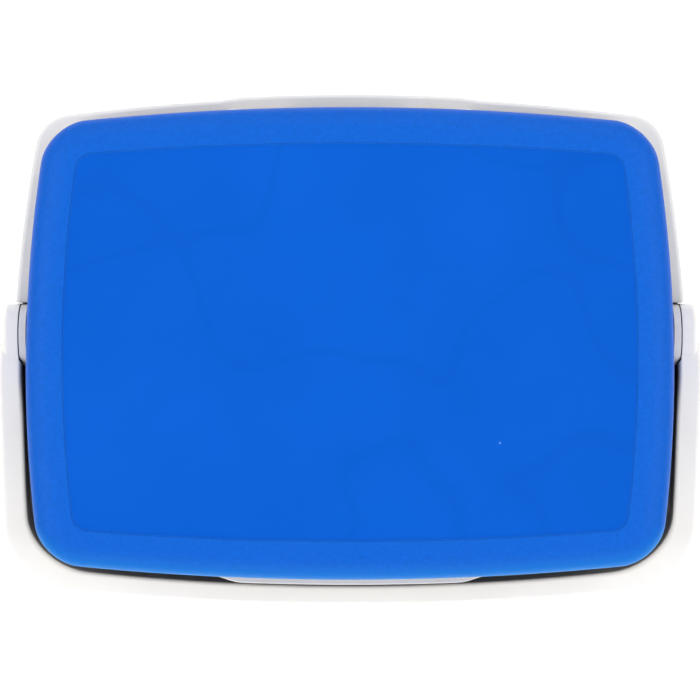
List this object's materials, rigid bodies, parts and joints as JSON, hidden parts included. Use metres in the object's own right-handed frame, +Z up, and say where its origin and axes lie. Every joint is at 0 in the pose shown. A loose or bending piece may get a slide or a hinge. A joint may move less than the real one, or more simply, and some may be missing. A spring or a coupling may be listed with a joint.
{
  "type": "cooler chest",
  "caption": "Small insulated cooler chest: foam-filled tub with a rear-hinged lid and a swinging bail carry handle.",
  "frame": {"origin": "on the floor, under the middle of the cooler with its handle folded to the front", "axes": "+Z up; +X along the long side, to the right seen from the front; the folded handle lies on the -Y side and the lid hinges are on the +Y side"},
  "size_m": [0.384, 0.2815, 0.31],
  "materials": {
    "shell_white": "satin",
    "liner_white": "satin",
    "handle_white": "satin",
    "trim_white": "satin",
    "lid_blue": "satin",
    "foam_cream": "matte",
    "seal_grey": "matte",
    "steel": "satin"
  },
  "bodies": {
    "body": {"outer_shell": "shell_white", "inner_liner": "liner_white", "body_insulation": "foam_cream", "body_fill_plug": "trim_white", "hinge_body_leaf_left": "trim_white", "hinge_body_leaf_right": "trim_white", "hinge_pin_left": "steel", "hinge_pin_right": "steel", "hinge_body_screw_left_outer": "steel", "hinge_body_screw_left_inner": "steel", "hinge_body_screw_right_outer": "steel", "hinge_body_screw_right_inner": "steel", "pivot_pin_left": "trim_white", "pivot_pin_right": "trim_white", "pivot_washer_left": "trim_white", "pivot_washer_right": "trim_white"},
    "lid": {"lid_shell": "lid_blue", "lid_pan": "liner_white", "lid_insulation": "foam_cream", "lid_fill_plug": "trim_white", "lid_gasket": "seal_grey", "hinge_lid_leaf_left": "trim_white", "hinge_lid_leaf_right": "trim_white", "hinge_lid_screw_left_outer": "steel", "hinge_lid_screw_left_inner": "steel", "hinge_lid_screw_right_outer": "steel", "hinge_lid_screw_right_inner": "steel"},
    "handle": {"handle_bail": "handle_white"}
  },
  "joints": [
    {"name": "lid_hinge", "type": "hinge", "parent": "body", "child": "lid", "pos_m": [0, 0.1284, 0.2628], "axis": [-1, 0, 0], "range_deg": [0, 100]},
    {"name": "handle_swing", "type": "hinge", "parent": "body", "child": "handle", "pos_m": [0, 0.0092, 0.254], "axis": [-1, 0, 0], "range_deg": [0, 124]}
  ]
}
